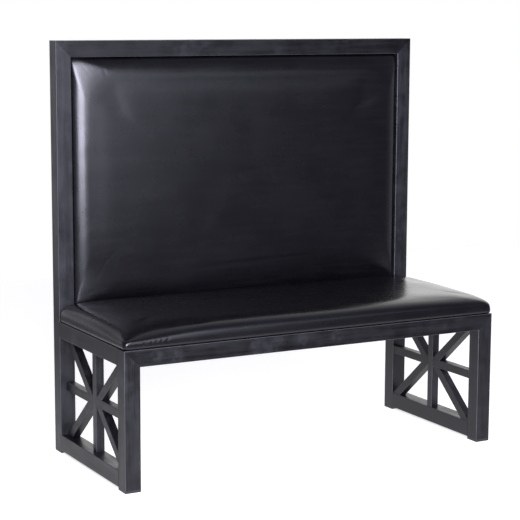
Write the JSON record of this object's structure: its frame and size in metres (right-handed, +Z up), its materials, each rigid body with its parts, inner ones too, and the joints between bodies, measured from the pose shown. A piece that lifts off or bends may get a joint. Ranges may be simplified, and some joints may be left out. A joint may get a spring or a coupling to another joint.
{
  "type": "restaurant booth bench",
  "caption": "High-backed single booth bench: mitred square-tube frame, eight-rayed lattice in each side frame, upholstered seat pad and an upholstered back let into the frame",
  "frame": {"origin": "middle of the footprint, on the floor", "axes": "+Z up, +Y to the rear of the bench, +X to the right seen from the front; +Y is the shortest extent"},
  "size_m": [1.2192, 0.52, 1.2192],
  "materials": {
    "frame_coating": "satin charcoal powder coat, faintly mottled",
    "black_vinyl": "semi-gloss black upholstery vinyl with a fine grain",
    "foam": "open-cell upholstery foam",
    "plywood": "birch plywood",
    "zinc_steel": "zinc plated",
    "glide_plastic": "black moulded polyethylene",
    "dust_cloth": "black non-woven cloth",
    "grip_pad": "hook-and-loop pad"
  },
  "bodies": {
    "root": {"back_board": "plywood", "back_bolts": "zinc_steel", "back_cover": "black_vinyl", "back_fixing_tabs": "frame_coating", "back_foam": "foam", "back_outer_panel": "black_vinyl", "back_tee_nuts": "zinc_steel", "back_top_rail": "frame_coating", "back_upright_left": "frame_coating", "back_upright_right": "frame_coating", "foot_glide_front_left": "glide_plastic", "foot_glide_front_right": "glide_plastic", "foot_glide_rear_left": "glide_plastic", "foot_glide_rear_right": "glide_plastic", "front_leg_left": "frame_coating", "front_leg_right": "frame_coating", "front_seat_rail": "frame_coating", "lattice_left_arm_front": "frame_coating", "lattice_left_arm_rear": "frame_coating", "lattice_left_diagonal_front_bottom": "frame_coating", "lattice_left_diagonal_front_top": "frame_coating", "lattice_left_diagonal_rear_bottom": "frame_coating", "lattice_left_diagonal_rear_top": "frame_coating", "lattice_left_post": "frame_coating", "lattice_right_arm_front": "frame_coating", "lattice_right_arm_rear": "frame_coating", "lattice_right_diagonal_front_bottom": "frame_coating", "lattice_right_diagonal_front_top": "frame_coating", "lattice_right_diagonal_rear_bottom": "frame_coating", "lattice_right_diagonal_rear_top": "frame_coating", "lattice_right_post": "frame_coating", "lower_side_rail_left": "frame_coating", "lower_side_rail_right": "frame_coating", "outer_panel_grip_pads": "grip_pad", "rear_seat_rail": "frame_coating", "seat_bearer_left": "frame_coating", "seat_bearer_right": "frame_coating", "seat_board": "plywood", "seat_bolts": "zinc_steel", "seat_cover": "black_vinyl", "seat_dust_cover": "dust_cloth", "seat_fixing_tabs": "frame_coating", "seat_foam": "foam", "seat_side_rail_left": "frame_coating", "seat_side_rail_right": "frame_coating", "seat_tee_nuts": "zinc_steel"}
  },
  "joints": []
}
